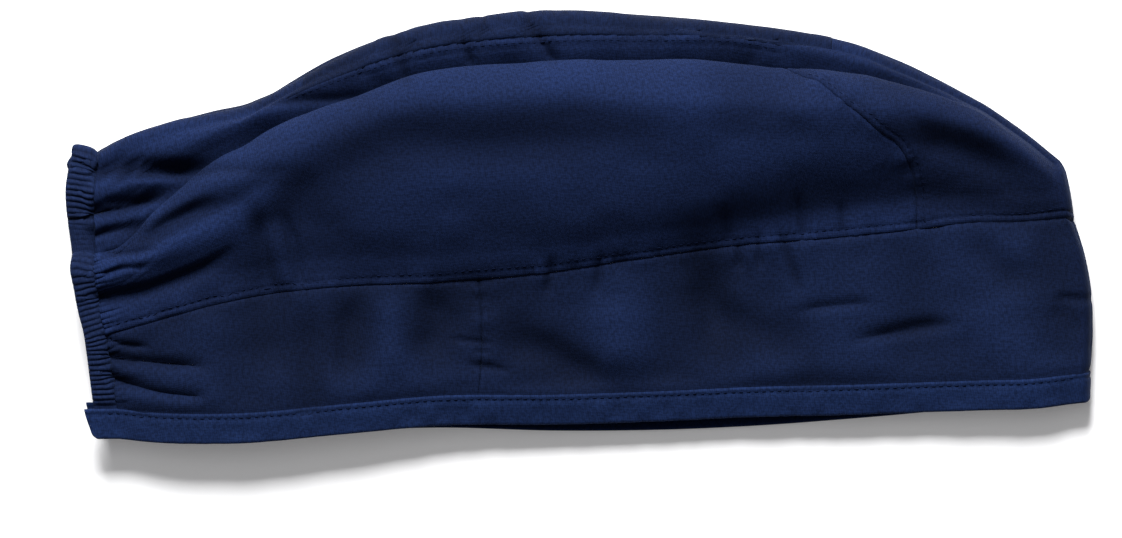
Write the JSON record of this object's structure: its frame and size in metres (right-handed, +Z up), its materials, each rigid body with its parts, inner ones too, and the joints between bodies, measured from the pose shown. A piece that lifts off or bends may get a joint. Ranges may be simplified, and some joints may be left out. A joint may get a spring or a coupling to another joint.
{
  "type": "scrub cap",
  "caption": "Navy woven-cotton scrub cap lying folded on its side: panelled crown over a deep front band, bound rim, gathered elastic back.",
  "frame": {"origin": "on the surface the cap lies on, at the centre of its plan", "axes": "+X from the gathered back towards the forehead fold, +Y from the rim towards the top of the crown, +Z up from the surface"},
  "size_m": [0.2804, 0.118, 0.0293],
  "materials": {
    "crown_cloth": "matte fine twill, navy",
    "band_cloth": "matte fine twill, navy",
    "binding_cloth": "matte fine twill, navy, folded double",
    "casing_cloth": "matte fine twill, navy, gathered"
  },
  "bodies": {
    "root": {"crown_side_right": "crown_cloth", "crown_side_left": "crown_cloth", "crown_center": "crown_cloth", "band_front": "band_cloth", "band_back_right": "band_cloth", "band_back_left": "band_cloth", "hem_binding": "binding_cloth", "elastic_casing": "casing_cloth"}
  },
  "joints": []
}
